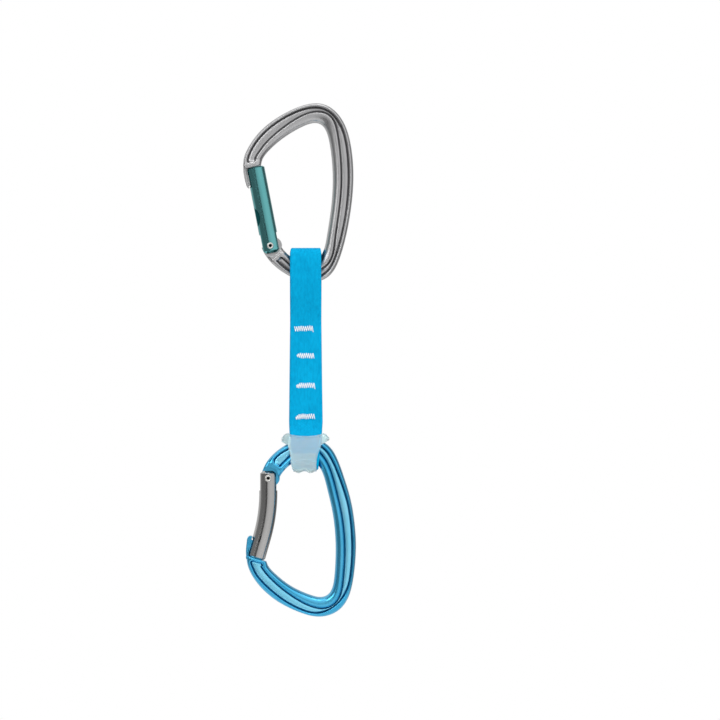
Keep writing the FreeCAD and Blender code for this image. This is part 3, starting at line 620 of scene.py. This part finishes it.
def make_nose(place, root):
    """The nose beyond the bar: a rounded lip outside the gate and the key that the gate end closes over."""
    made = FRAMES[place]
    outside = [np.array(root[[0, 2]]) / MM] + [np.array(point) for point in made["lip"]]
    inside = [gate_point(place, *point) for point in made["inside"]]
    slabs = [(outside + inside, LIP_HALF)]
    key_inside, key_outside = -1.0, 5.6
    for start, end, half in ((-0.8, 3.6, NECK_HALF), (3.5, 9.3, HEAD_HALF)):
        corners = [(start, key_outside), (end, key_outside), (end, key_inside), (start, key_inside)]
        slabs.append(([gate_point(place, *corner, "key_lean") for corner in corners], half))
    boss = [(-0.08, 4.6), (-0.08, -3.4), (-2.0, -3.0), (-2.0, 5.0), (-0.7, 5.5), (-0.3, 5.5), (-0.3, 4.6)]
    slabs.append(([gate_point(place, *corner) for corner in boss], LIP_HALF))
    nose = softened(slabs_mesh(f"{place}_nose", slabs), f"{place}_nose", grain=0.12 * MM, passes=5)
    nose.data.materials.append(made["material"])
    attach(nose, f"{place}_frame")
    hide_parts(f"{place}_frame")


def make_frame(place):
    """One carabiner frame: the bar, the tongue past its last station and the nose before its first one."""
    edges, inward, widths = make_ring(place)
    last = len(edges) - 2
    middle = Vector(edges[last]) + Vector(inward[last]) * widths[last] * 0.5 * MM
    step = Vector(inward[last]).cross(Vector((0, 1, 0)))
    ahead = step if step.dot(Vector(edges[-1] - edges[last])) > 0 else -step
    make_tongue(place, middle, ahead)
    # The lip grows from the bar's near edge on one frame and from its far edge on the other.
    across = (1 - FRAMES[place]["lip_side"]) / 2
    make_nose(place, edges[0] + inward[0] * widths[0] * MM * across)


def make_cheek(place, side):
    """Skin of the gate tube beside the slot for the key, which leaves the slot narrow."""
    skin, hollow = 5.02, 4.2
    slot_half, cheek_half = 2.15, 3.2
    low, high = math.asin(slot_half / skin), math.asin(cheek_half / skin)
    section = [(skin * math.cos(turn), skin * math.sin(turn)) for turn in np.linspace(low, high, 7)]
    section += [(hollow * math.cos(turn), hollow * math.sin(turn)) for turn in (high, low)]
    verts = []
    for back in (3.3, 10.7):
        for out, depth in section:
            x, z = gate_point(place, back, out)
            verts.append((x * MM, side * depth * MM, z * MM))
    name = f"{place}_gate_cheek_{'front' if side < 0 else 'back'}"
    cheek = new_object(name, verts, tube_faces(2, len(section)))
    cheek.data.set_sharp_from_angle(angle=math.radians(40))
    turn_outward(cheek)
    cheek.data.materials.append(FRAMES[place]["gate_metal"])
    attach(cheek, f"{place}_gate")


def make_window_shade():
    """Dark slab in the scallop in the side of the straight gate: painted shade for the shaded inside of the
    tube seen there.
    """
    level, centre, radius, top, half = 27.3, 9.6, 7.1, 4.7, 1.55
    reach = math.sqrt(radius ** 2 - (centre - top) ** 2)
    outline = [gate_point("upper", level + step, centre - math.sqrt(radius ** 2 - step ** 2))
               for step in np.linspace(-reach, reach, 25)]
    # The slab takes the dark teal material: painted shade in the window.
    window = linked_object("upper_gate_window_shade", slabs_mesh("upper_gate_window_shade", [(outline, half)]))
    window.data.materials.append(gate_shade)
    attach(window, "upper_gate")


def make_slit(side):
    """Narrow slit in the face of the bent gate, above its nose end: a thin lens laid on the tube and painted
    near black as the slit's shade.
    """
    start, length, half_width, rows = 8.3, 4.8, 0.42, 17
    skin, hollow = 5.03, 4.8
    verts = []
    for share in np.linspace(0.01, 0.99, rows):
        wide = half_width * math.sqrt(1 - (2 * share - 1) ** 2)
        for edge, radius in ((-wide, skin), (wide, skin), (wide, hollow), (-wide, hollow)):
            out = 0.95 - 0.45 * share + edge
            x, z = gate_point("lower", start + length * share, out)
            verts.append((x * MM, side * math.sqrt(radius ** 2 - out ** 2) * MM, z * MM))
    name = f"lower_gate_slit_shade_{'front' if side < 0 else 'back'}"
    slit = new_object(name, verts, tube_faces(rows, 4), smooth=False)
    turn_outward(slit)
    # The lens takes the near-black material: painted shade for the slit.
    slit.data.materials.append(bore_shade)
    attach(slit, "lower_gate")


make_window_shade()
for place in FRAMES:
    make_frame(place)
    for side in (-1, 1):
        make_cheek(place, side)
for side in (-1, 1):
    make_slit(side)


# ------------------------------------------------------------------ hollow rivets
def make_rivet(place):
    """Hollow rivet: a rolled rim round a deep bore at each end, turned about the hinge; the bore's faces are
    painted near black as its shade.
    """
    node = f"{place}_gate_rivet"
    low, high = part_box(node)
    middle = (low + high) / 2
    head, end = (high.x - low.x) / 2, high.y
    bore_floor, roll = end - 2.2 * MM, 0.45 * MM
    half = [(0.40 * head, bore_floor), (0.44 * head, end - 0.5 * MM)]
    for turn in np.linspace(math.pi, 0, 9):
        half.append((head * 0.70 + head * 0.27 * math.cos(turn), end - roll + roll * math.sin(turn)))
    half += [(head * 0.97, end - 0.9 * MM), (head * 0.78, end - 0.95 * MM)]
    profile = half + [(radius, -y) for radius, y in reversed(half)]
    sides, verts = 40, []
    for radius, y in profile:
        for k in range(sides):
            turn = 2 * math.pi * k / sides
            verts.append((middle.x + radius * math.cos(turn), y, middle.z + radius * math.sin(turn)))
    rivet = new_object(f"{place}_rivet", verts, tube_faces(len(profile), sides))
    rivet.data.set_sharp_from_angle(angle=math.radians(50))
    rivet.data.materials.append(steel)
    rivet.data.materials.append(bore_shade)
    # Faces round the bore take the near-black material: painted shade in the hollow.
    bore = head * 0.42
    for face in rivet.data.polygons:
        if math.hypot(face.center.x - middle.x, face.center.z - middle.z) < bore:
            face.material_index = 1
    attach(rivet, f"{place}_gate")
    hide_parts(node)


for place in FRAMES:
    make_rivet(place)

# ------------------------------------------------------------------ sling
LAYER = 2.2 * MM
HALF_LAYER = LAYER / 2
# Length of webbing in which its picks repeat, and its ribs in each millimetre across
WEAVE_REPEAT = 2.0 * MM
RIBS_PER_MM = 0.95
crown = top_loop_high.z
foot = bottom_loop_low.z
loop_y = top_loop_high.y - HALF_LAYER
cut_upper = upper_run_high.z * 0.5 + upper_run_low.z * 0.5
cut_lower = lower_run_high.z * 0.5 + lower_run_low.z * 0.5


def strap_edges(z):
    """Left and right edge of the sling at each height."""
    bottom_top = bottom_loop_high.z
    heights = [foot, foot + 6 * MM, bottom_top - 8 * MM, bottom_top - 6 * MM, bottom_top,
               lower_run_high.z, upper_run_high.z, top_loop_high.z - 3 * MM, top_loop_high.z]
    lefts = [-11.9, -12.4, -12.9, -13.5, -13.8, -13.5, -13.2, -13.2, -12.6]
    rights = [2.2, 2.8, 3.7, 4.3, 4.7, 4.3, 4.0, 4.0, 3.5]
    return np.interp(z, heights, np.array(lefts) * MM), np.interp(z, heights, np.array(rights) * MM)


def weave_relief(along, across):
    """Small real relief of the weave, which also gives the strap's silhouette its texture."""
    ribs = np.sin(across / MM * 2 * math.pi * RIBS_PER_MM) * 0.5 + 0.5
    every_other_rib = np.where(np.sin(across / MM * math.pi * RIBS_PER_MM) > 0, 0, math.pi)
    picks = np.sin(along / WEAVE_REPEAT * 2 * math.pi + every_other_rib)
    return (ribs * 0.035 + picks * 0.02) * MM


def strap_section(side_columns=40, round_columns=5):
    """Points round the strap: share of its width, lift to the front or back face, bulge past the edge."""
    turns = np.linspace(0, math.pi, round_columns + 2)[1:-1]
    section = [(share, 1.0, 0.0) for share in np.linspace(0, 1, side_columns)]
    section += [(1.0, math.cos(turn), math.sin(turn)) for turn in turns]
    section += [(share, -1.0, 0.0) for share in np.linspace(1, 0, side_columns)]
    section += [(0.0, -math.cos(turn), -math.sin(turn)) for turn in turns]
    return [np.array(column) for column in zip(*section)]


def make_strap(name, path, sense=1):
    """One stretch of webbing along a (y, z) path: a flat woven band with rounded selvedges.

    The weave is measured from the same level on every stretch, so it runs on over the joins.
    """
    line = smooth_path(path, 0.45 * MM)
    normal = line_normals(line)
    along = distance_along(line)
    if line[0, 1] == line[-1, 1]:
        # A loop holds a whole number of repeats, so that the weave meets itself.
        repeats = max(round(along[-1] / WEAVE_REPEAT), 1)
        along = along * (repeats * WEAVE_REPEAT / along[-1])
    along = sense * along - line[0, 1]
    share, lift, bulge = strap_section()
    left, right = strap_edges(line[:, 1])
    inset = HALF_LAYER * 0.55
    x = (left + inset)[:, None] + share[None, :] * (right - left - 2 * inset)[:, None]
    x = x + bulge[None, :] * inset
    relief = weave_relief(along[:, None], x) * (np.abs(lift) > 0.99)[None, :]
    height = lift[None, :] * (HALF_LAYER - 0.05 * MM) + np.sign(lift)[None, :] * relief
    points = np.empty((len(line), len(share), 3))
    points[:, :, 0] = x
    points[:, :, 1] = line[:, 0][:, None] + normal[:, 0][:, None] * height
    points[:, :, 2] = line[:, 1][:, None] + normal[:, 1][:, None] * height
    strap = new_object(name, points.reshape(-1, 3), tube_faces(len(line), len(share)))
    strap.data.set_sharp_from_angle(angle=math.radians(60))
    layer = strap.data.uv_layers.new(name="strap")
    uv = np.stack([(x / MM).ravel(), np.repeat(along / MM, len(share))], axis=1)
    corners = np.empty(len(strap.data.loops), int)
    strap.data.loops.foreach_get("vertex_index", corners)
    layer.data.foreach_set("uv", uv[corners].astype(np.float32).ravel())
    strap.data.materials.append(webbing)
    return strap


def both_sides(half):
    """The front half of a (y, z) path, which ends at the middle, and its mirror image at the back."""
    return half + [(-y, z) for y, z in reversed(half[:-1])]


flat_y = -HALF_LAYER - 0.04 * MM
top_half = [
    (flat_y, cut_upper), (flat_y, cut_upper + 6 * MM), (flat_y, crown - 41.5 * MM),
    (-2.5 * MM, crown - 34.5 * MM), (-4.9 * MM, crown - 27 * MM), (-6.4 * MM, crown - 19.5 * MM),
    (-loop_y, crown - 12 * MM), (-loop_y + 0.1 * MM, crown - 5.5 * MM), (-5.6 * MM, crown - 2.3 * MM),
    (-3.2 * MM, crown - HALF_LAYER - 0.15 * MM), (0, crown - HALF_LAYER),
]
top_strap = make_strap("sling_top", both_sides(top_half), sense=-1)
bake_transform(top_strap)
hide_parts("sling_top_loop", "sling_upper_run")

for side, sign in (("front", 1), ("back", -1)):
    levels = (cut_upper, cut_upper * 0.5 + cut_lower * 0.5, cut_lower)
    middle = make_strap(f"sling_middle_{side}", [(flat_y * sign, level) for level in levels])
    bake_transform(middle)
    if sign == 1:
        # One CAD node stands for both layers, and the front layer names it.
        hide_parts("sling_lower_run")

bottom_half = [
    (flat_y, cut_lower), (flat_y, cut_lower - 5 * MM), (flat_y, foot + 27.5 * MM),
    (-2.6 * MM, foot + 23.2 * MM), (-5.0 * MM, foot + 19.0 * MM), (-6.5 * MM, foot + 14.5 * MM),
    (-loop_y, foot + 9 * MM), (-loop_y + 0.1 * MM, foot + 5.0 * MM), (-5.4 * MM, foot + 2.5 * MM),
    (-3.0 * MM, foot + HALF_LAYER + 0.7 * MM), (0, foot + HALF_LAYER + 0.6 * MM),
]
bottom_strap = make_strap("sling_bottom", both_sides(bottom_half))
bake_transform(bottom_strap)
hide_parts("sling_bottom_loop")


# ------------------------------------------------------------------ bar tacks
def tube_mesh(points, across, thick, sides=8):
    """Vertices and faces of a round strand along a line of (x, y, z) points, flatter in y if asked."""
    line = np.array(points, float)
    rows = []
    depth = np.array([0.0, 1.0, 0.0])
    for place, ahead in zip(line, line_directions(line)):
        side = np.cross(ahead, depth)
        side /= max(np.linalg.norm(side), 1e-9)
        out = np.cross(side, ahead)
        for k in range(sides):
            turn = 2 * math.pi * k / sides
            rows.append(place + side * across * math.cos(turn) + out * thick * math.sin(turn))
    return rows, tube_faces(len(line), sides)


# Each tack: its strokes, how far its left end is lifted (mm), the share its first strokes shrink by, how far
# its last stroke drops (tail, mm) and how far its first ones hang (droop, mm)
TACKS = {
    "bar_tack_1": {
        "body": "sling_upper", "strokes": 17, "lift": -0.3, "point": 0.0, "tail": 0.7, "droop": 0.0,
    },
    "bar_tack_2": {
        "body": "sling_upper", "strokes": 17, "lift": 0.1, "point": 0.6, "tail": 0.2, "droop": 0.0,
    },
    "bar_tack_3": {
        "body": "sling_lower", "strokes": 19, "lift": -0.2, "point": 0.5, "tail": 0.8, "droop": 0.4,
    },
    "bar_tack_4": {
        "body": "sling_lower", "strokes": 19, "lift": -0.1, "point": 0.45, "tail": 0.0, "droop": 1.0,
    },
}
THREAD = 0.22 * MM


def make_tack(node, made, side):
    """One bar tack: a dense zigzag of thick white thread with a few slack strokes at its ends."""
    low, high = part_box(node)
    level = (low.z + high.z) / 2
    reach = (high.z - low.z) / 2 - 0.05 * MM
    count = made["strokes"]
    crowding = 1.12 if made["point"] else 1.0
    corners = []
    for k in range(count + 1):
        share = (k / count) ** crowding
        x = low.x + THREAD + (high.x - low.x - 2 * THREAD) * share
        from_left = max(0.0, 1 - share * 6)
        height = reach * (1 - made["point"] * from_left) * (0.94 + 0.08 * math.sin(k * 2.3 + level / MM))
        centre = level + (made["lift"] * (1 - share) - made["droop"] * from_left) * MM
        z = centre + height * (1 if k % 2 == 0 else -1)
        if k == count:
            z = min(z, level) - made["tail"] * MM
        corners.append((x, z))
    path = []
    for (x1, z1), (x2, z2) in zip(corners, corners[1:]):
        for share in np.linspace(0.06, 0.94, 9):
            bow = 0.10 * MM * math.sin(share * math.pi)
            arch = math.sin(share * math.pi) ** 0.5
            path.append((x1 + (x2 - x1) * share, side * (LAYER + 0.02 * MM + THREAD * 0.55 * arch),
                         z1 + (z2 - z1) * share + bow))
    rows, faces = tube_mesh(path, THREAD, THREAD * 0.85)
    name = f"{node}_{'front' if side < 0 else 'back'}"
    stitches = new_object(name, rows, faces)
    stitches.data.materials.append(thread)
    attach(stitches, made["body"])
    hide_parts(node)


for node, made in TACKS.items():
    for side in (-1, 1):
        make_tack(node, made, side)


# ------------------------------------------------------------------ rubber retainer
# In mm: the panel's edges (z, x), the collar's edges (x, z), and the panel's line down the front (y, z)
PANEL_LEFT = [
    (-172, -14.0), (-177.4, -14.2), (-180.4, -13.4), (-183.3, -12.9), (-187.3, -12.6), (-190.5, -11.5),
]
PANEL_RIGHT = [(-172, 4.2), (-177.9, 3.7), (-181.4, 2.3), (-184.3, 1.6), (-187.3, 1.3), (-190.5, 1.4)]
COLLAR_TOP = [
    (-17.6, -174.4), (-17.2, -173.2), (-16.1, -171.5), (-14.6, -170.6), (-13.0, -171.1), (-9.0, -171.8),
    (-4.6, -172.0), (0.0, -171.8), (3.4, -171.1), (4.7, -170.6), (5.9, -171.0), (7.3, -172.5), (8.1, -173.6),
]
COLLAR_FOOT = [
    (-17.6, -175.2), (-16.1, -176.2), (-14.6, -177.0), (-12.0, -178.0), (-4.6, -178.6), (2.5, -178.0),
    (4.8, -176.5), (6.7, -175.2), (8.1, -174.2),
]
PANEL_PATH = [
    (-6.1, -172.6), (-6.95, -174.8), (-7.95, -178), (-8.45, -183), (-8.4, -187), (-7.2, -190.0),
    (-4.4, -191.15), (0, -191.25),
]
# Thickness of the rubber, in mm
RUBBER = 1.0


def at_height(z, table):
    """Value at a height, from (height, value) pairs listed downwards, in mm."""
    heights, values = zip(*reversed(table))
    return np.interp(z, heights, values)


def panel_mesh():
    """The band that runs down the front, under the bar and up the back, thicker along both edges."""
    step, bead, bead_width, lobe_height, lobe_width = 0.35, 0.22, 0.06, 0.55, 3.1
    line = smooth_path(both_sides(PANEL_PATH), step)
    rows = []
    shares = np.linspace(0, 1, 40)
    for (y, z), (ny, nz) in zip(line, line_normals(line)):
        left, right = at_height(z, PANEL_LEFT), at_height(z, PANEL_RIGHT)
        under = float(soft_step(-z, 188.5, 191.0))
        for face in (1, -1):
            for share in (shares if face == 1 else shares[::-1]):
                edge = max(0.0, 1 - min(share, 1 - share) / bead_width)
                half = RUBBER / 2 + bead * edge ** 0.5 - 0.4 * max(0, edge - 0.85)
                x = left + (right - left) * share
                lobe = under * (lobe_height * math.cos((x + 5.2) / lobe_width * math.pi / 1.05) - 0.1)
                rows.append((x, y + ny * half * face, z + nz * half * face + lobe))
    return rows, tube_faces(len(line), 2 * len(shares))


def collar_mesh():
    """The flared collar: a closed band round the strap, drawn out to a wing at each side."""
    rows = []
    count, levels = 160, 14
    centre, half_width = -4.75, 12.6
    flare_out, top_bead, foot_bead = 0.35, 0.32, 0.15
    # How far the band stands from the middle plane, at each depth below zero
    depths, reaches = [170.5, 172.6, 174.8, 178.0], [5.9, 6.25, 6.95, 7.9]
    tops_x, tops_z = zip(*COLLAR_TOP)
    feet_x, feet_z = zip(*COLLAR_FOOT)
    for k in range(count):
        turn = 2 * math.pi * k / count
        cos, sin = math.cos(turn), math.sin(turn)
        x = centre + half_width * math.copysign(abs(cos) ** 0.85, cos)
        bulge = math.copysign(abs(sin) ** 0.8, sin)
        out = Vector((cos * 0.6, sin, 0)).normalized()
        top, foot = np.interp(x, tops_x, tops_z), np.interp(x, feet_x, feet_z)
        for face in (1, -1):
            for level in (range(levels) if face == 1 else reversed(range(levels))):
                share = level / (levels - 1)
                z = top + (foot - top) * share
                reach = np.interp(-z, depths, reaches)
                flare = flare_out * (1 - share) ** 3
                side_wing = abs(cos) ** 6
                lip = top_bead * max(0.0, 1 - share * 6)
                lip += foot_bead * side_wing * max(0.0, 1 - (1 - share) * 6)
                half = RUBBER / 2 * (1 - 0.7 * share ** 2 * (1 - side_wing)) + lip
                rows.append((x + out.x * half * face, bulge * (reach + flare) + out.y * half * face, z))
    faces = grid_faces(count, 2 * levels, close_rows=True, close_columns=True)
    return rows, faces


def ridge_mesh(level, left, right):
    """A faint moulded rib across the front of the panel."""
    radius, sunk = 0.3, 0.05
    depth = np.interp(-level, [178, 183, 187, 190], [8.2, 8.65, 8.5, 7.4]) + RUBBER / 2 - sunk
    return tube_mesh([(x, -depth, level) for x in np.linspace(left, right, 20)], radius, radius)


def make_retainer():
    """All parts of the retainer, fused into one skin and softened as moulded rubber is."""
    bm = bmesh.new()
    ridges = (ridge_mesh(-185.4, -11.0, -0.2), ridge_mesh(-187.9, -10.6, 0.0))
    for rows, faces in (panel_mesh(), collar_mesh(), *ridges):
        verts = [bm.verts.new([c * MM for c in row]) for row in rows]
        for face in faces:
            bm.faces.new([verts[k] for k in face])
    bmesh.ops.recalc_face_normals(bm, faces=bm.faces)
    mesh = bpy.data.meshes.new("rubber_parts")
    bm.to_mesh(mesh)
    bm.free()
    retainer = softened(mesh, "retainer", grain=0.22 * MM, passes=9)
    retainer.data.materials.append(rubber)
    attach(retainer, "sling_bottom")
    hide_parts("rubber_retainer")


make_retainer()

# ------------------------------------------------------------------ camera, lights, floor
# Width of what the camera sees at the object, and how far the camera stands to the right of it
VIEW_WIDTH = 0.396
ASIDE = 0.0332
LENS, SENSOR = 150.0, 36.0
object_centre = (cad_low + cad_high) / 2
camera_data = bpy.data.cameras.new("camera")
camera_data.lens, camera_data.sensor_width = LENS, SENSOR
camera = bpy.data.objects.new("camera", camera_data)
camera.location = (object_centre.x + ASIDE, -VIEW_WIDTH * LENS / SENSOR, object_centre.z)
camera.rotation_euler = (math.pi / 2, 0, 0)
scene.collection.objects.link(camera)
scene.camera = camera
scene.view_settings.view_transform = "Standard"


def make_floor():
    """A pale floor with softly rounded corners, just below the camera's view."""
    half, corner, level = 0.34, 0.12, cad_low.z - 0.10
    rim = []
    for sx, sy, start in ((1, 1, 0), (-1, 1, 90), (-1, -1, 180), (1, -1, 270)):
        for turn in range(0, 91, 6):
            angle = math.radians(start + turn)
            rim.append((object_centre.x + sx * (half - corner) + corner * math.cos(angle),
                        sy * (half - corner) + corner * math.sin(angle), level))
    floor = new_object("floor", rim, [tuple(range(len(rim)))], smooth=False)
    material, nodes, links, shader = new_material("pale_floor")
    cloud = noise(nodes, links, 6, 3.0)
    links.new(ramp(nodes, links, cloud, [(0.3, (0.86, 0.86, 0.86, 1)), (0.7, (0.9, 0.9, 0.9, 1))]),
              shader.inputs["Base Color"])
    shader.inputs["Roughness"].default_value = 0.8
    floor.data.materials.append(material)


make_floor()


def area_light(name, place, size, power, reflected=True):
    """A soft rectangular light that faces the middle of the object."""
    data = bpy.data.lights.new(name, "AREA")
    data.shape = "RECTANGLE"
    data.size, data.size_y = size
    data.energy = power
    light = bpy.data.objects.new(name, data)
    light.location = place
    light.rotation_euler = (object_centre - Vector(place)).to_track_quat("-Z", "Y").to_euler()
    light.visible_glossy = reflected
    scene.collection.objects.link(light)


area_light("key", (-0.8, -1.2, 0.6), (0.8, 1.0), 9)
area_light("fill", (1.1, -1.1, 0.1), (0.8, 1.2), 5.5, reflected=False)
area_light("top", (0.0, -0.2, 1.0), (1.0, 0.6), 4.5)

# The studio round the object: share of a turn, from the back past the left, front and right; brightness
STUDIO = [
    (0.0, 0.9), (0.12, 1.1), (0.19, 1.1), (0.23, 0.42), (0.35, 0.34), (0.405, 0.30), (0.437, 0.10),
    (0.465, 0.07), (0.485, 1.1), (0.60, 1.45), (0.73, 1.3), (0.765, 0.22), (0.85, 0.25), (0.92, 0.7),
    (1.0, 0.9),
]


def make_world():
    """White behind the object; for all other light, a studio of bright panels with darker gaps."""
    world = bpy.data.worlds.new("studio")
    scene.world = world
    world.use_nodes = True
    nodes, links = world.node_tree.nodes, world.node_tree.links
    nodes.clear()
    place = nodes.new("ShaderNodeTexCoord")
    split = nodes.new("ShaderNodeSeparateXYZ")
    links.new(place.outputs["Generated"], split.inputs["Vector"])
    forward = calculated(nodes, links, "MULTIPLY", split.outputs["Y"], -1)
    turn = calculated(nodes, links, "ARCTAN2", split.outputs["X"], forward)
    share = nodes.new("ShaderNodeMapRange")
    share.inputs["From Min"].default_value = -math.pi
    share.inputs["From Max"].default_value = math.pi
    links.new(turn, share.inputs["Value"])
    panels = ramp(nodes, links, share.outputs["Result"], [
        (position, (level, level, level, 1)) for position, level in STUDIO
    ])
    shade = ramp(nodes, links, split.outputs["Z"], [
        (0.0, (0.72, 0.72, 0.72, 1)), (0.3, (0.9, 0.9, 0.9, 1)), (0.8, (1, 1, 1, 1)),
    ])
    both = nodes.new("ShaderNodeMix")
    both.data_type, both.blend_type = "RGBA", "MULTIPLY"
    both.inputs["Factor"].default_value = 1
    links.new(panels, both.inputs["A"])
    links.new(shade, both.inputs["B"])
    soft = nodes.new("ShaderNodeBackground")
    links.new(both.outputs["Result"], soft.inputs["Color"])
    white = nodes.new("ShaderNodeBackground")
    white.inputs["Color"].default_value = (1, 1, 1, 1)
    seen = nodes.new("ShaderNodeLightPath")
    mix = nodes.new("ShaderNodeMixShader")
    links.new(seen.outputs["Is Camera Ray"], mix.inputs["Fac"])
    links.new(soft.outputs["Background"], mix.inputs[1])
    links.new(white.outputs["Background"], mix.inputs[2])
    output = nodes.new("ShaderNodeOutputWorld")
    links.new(mix.outputs["Shader"], output.inputs["Surface"])


make_world()
